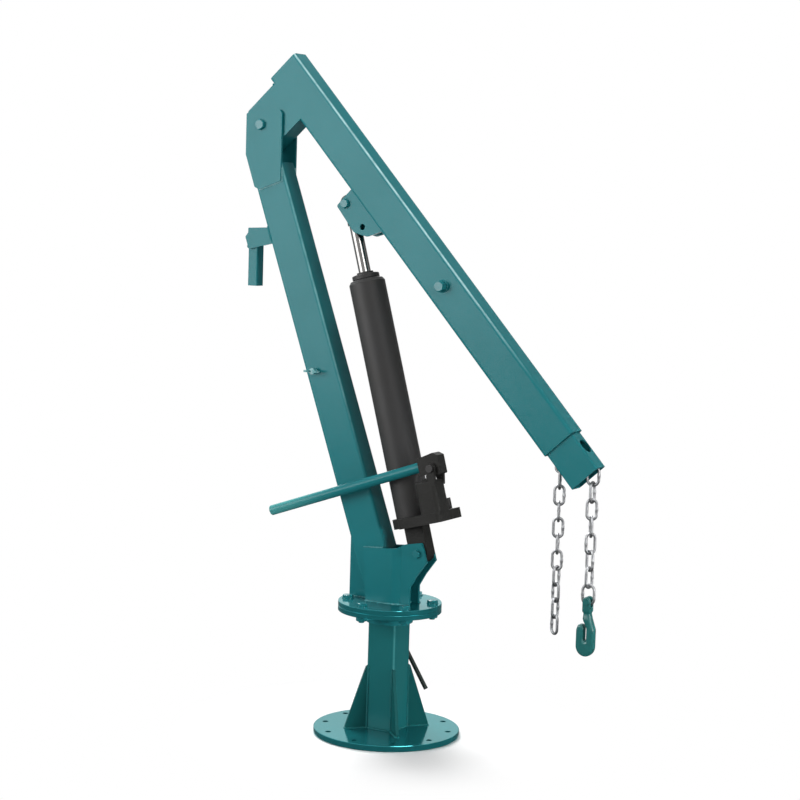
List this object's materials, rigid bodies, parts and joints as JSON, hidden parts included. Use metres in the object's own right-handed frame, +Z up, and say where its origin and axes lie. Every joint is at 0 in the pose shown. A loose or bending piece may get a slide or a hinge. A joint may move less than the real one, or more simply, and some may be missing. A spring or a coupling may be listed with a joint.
{
  "type": "swivel hoist crane",
  "caption": "Bolt-down swivel hoist crane: leaning mast, long-ram hydraulic jack, telescopic lifting boom and chain with a grab hook.",
  "frame": {"origin": "centre of the base plate's underside, on the swivel axis", "axes": "+Z up along the swivel axis, +X towards the boom tip, +Y to the far side of the picture"},
  "size_m": [0.8189, 0.3, 1.3828],
  "materials": {
    "paint": "glossy teal powder coat",
    "black_paint": "semi-gloss black enamel",
    "chrome": "polished hard chrome",
    "steel": "bright zinc plate",
    "dark_steel": "black oxide",
    "bronze": "turned bronze",
    "rubber": "moulded"
  },
  "bodies": {
    "base": {"base_plate": "paint", "column_tube": "paint", "column_gussets": "paint", "column_collar": "paint", "upper_bush": "bronze", "thrust_washer": "bronze", "lower_bearing": "steel", "lock_boss": "paint"},
    "lock_screw": {"lock_screw": "dark_steel"},
    "turret": {"turning_shaft": "steel", "shaft_ring": "steel", "lower_flange": "paint", "upper_flange": "paint", "flange_bolts": "steel", "flange_nuts": "steel", "mast_tube": "paint", "mast_stub": "paint", "mast_bolt": "steel", "mast_nut": "steel", "rear_gusset": "paint", "foot_ears": "paint", "foot_bolt": "steel", "foot_nut": "steel", "head_cheeks": "paint", "pivot_bolt": "steel", "pivot_nut": "steel", "grip_arm": "paint", "grip_bar": "paint", "wing_weld_nut": "steel"},
    "wing_screw": {"wing_screw": "steel"},
    "boom": {"boom_tube": "paint", "boom_end_plate": "paint", "boom_heel": "paint", "pivot_sleeve": "paint", "boom_ears": "paint", "head_pin_stubs": "steel", "boom_lock_nut": "paint"},
    "boom_lock_bolt": {"boom_lock_bolt": "steel"},
    "extension": {"extension_tube": "paint", "chain_bar": "steel", "chain_loop": "steel"},
    "load_chain_upper": {"load_chain_upper": "steel"},
    "load_chain_lower": {"load_chain_lower": "steel"},
    "hook": {"grab_hook": "paint", "clevis_pin": "steel"},
    "tail_chain": {"tail_chain": "steel"},
    "jack": {"jack_foot": "black_paint", "jack_base": "black_paint", "jack_cylinder": "black_paint", "pressure_tube": "steel", "jack_cap": "black_paint", "rod_wiper": "rubber", "rocker_pin": "black_paint"},
    "ram": {"ram_rod": "chrome", "ram_piston": "steel", "ram_eye": "dark_steel"},
    "pump_handle": {"pump_rocker": "black_paint", "pump_handle": "paint"},
    "pump_plunger": {"pump_plunger": "black_paint"},
    "release_valve": {"release_valve": "black_paint"}
  },
  "joints": [
    {"name": "swivel", "type": "hinge", "parent": "base", "child": "turret", "pos_m": [0, 0, 0.255], "axis": [0, 0, 1], "continuous": true},
    {"name": "column_lock", "type": "hinge", "parent": "base", "child": "lock_screw", "pos_m": [0, 0.0325, 0.172], "axis": [0, 1, 0], "range_deg": [-60, 120]},
    {"name": "wing_turn", "type": "hinge", "parent": "turret", "child": "wing_screw", "pos_m": [-0.1796, -0.025, 0.7358], "axis": [0, 1, 0], "range_deg": [-180, 180]},
    {"name": "boom_lift", "type": "hinge", "parent": "turret", "child": "boom", "pos_m": [-0.32401, 0, 1.237], "axis": [0, -1, 0], "range_deg": [0, 72]},
    {"name": "extension_slide", "type": "slide", "parent": "boom", "child": "extension", "axis": [0.6703, 0, -0.7421], "range_m": [0, 0.3]},
    {"name": "boom_lock_turn", "type": "hinge", "parent": "boom", "child": "boom_lock_bolt", "pos_m": [0.11178, -0.025, 0.92371], "axis": [0, 1, 0], "range_deg": [-180, 180]},
    {"name": "jack_swing", "type": "hinge", "parent": "turret", "child": "jack", "pos_m": [0.0714, 0, 0.383], "axis": [0, 1, 0], "range_deg": [-0.5, 5.42]},
    {"name": "ram_stroke", "type": "slide", "parent": "jack", "child": "ram", "axis": [-0.2637, 0, 0.9646], "range_m": [-0.001, 0.29511]},
    {"name": "pump_rock", "type": "hinge", "parent": "jack", "child": "pump_handle", "pos_m": [0.12391, -0.053, 0.56634], "axis": [0, 1, 0], "range_deg": [0, 35]},
    {"name": "plunger_stroke", "type": "slide", "parent": "jack", "child": "pump_plunger", "axis": [-0.2637, 0, 0.9646], "range_m": [-0.0005, 0.0108]},
    {"name": "valve_turn", "type": "hinge", "parent": "jack", "child": "release_valve", "pos_m": [0.12467, 0.01, 0.47635], "axis": [-0.2637, 0, 0.9646], "range_deg": [0, 270]},
    {"name": "load_chain_top", "type": "hinge", "parent": "extension", "child": "load_chain_upper", "pos_m": [0.44146, 0, 0.58856], "axis": [0, -1, 0], "range_deg": [-32.9, 0.5]},
    {"name": "load_chain_bend", "type": "hinge", "parent": "load_chain_upper", "child": "load_chain_lower", "pos_m": [0.44146, 0, 0.52276], "axis": [0, -1, 0], "range_deg": [-40.1, 0.5]},
    {"name": "hook_swing", "type": "hinge", "parent": "load_chain_lower", "child": "hook", "pos_m": [0.44146, 0, 0.33046], "axis": [0, -1, 0], "range_deg": [-14, 40]},
    {"name": "tail_chain_swing", "type": "hinge", "parent": "extension", "child": "tail_chain", "pos_m": [0.36611, 0.012, 0.58248], "axis": [0, -1, 0], "range_deg": [-72.5, 0.5]}
  ],
  "couplings": [
    {"joint": "jack_swing", "follows": "boom_lift", "ratio": 0.068348},
    {"joint": "ram_stroke", "follows": "boom_lift", "m_per_rad": 0.23404},
    {"joint": "load_chain_top", "follows": "boom_lift", "ratio": -0.45},
    {"joint": "load_chain_bend", "follows": "boom_lift", "ratio": -0.55},
    {"joint": "tail_chain_swing", "follows": "boom_lift", "ratio": -1},
    {"joint": "plunger_stroke", "follows": "pump_rock", "m_per_rad": 0.0165}
  ]
}
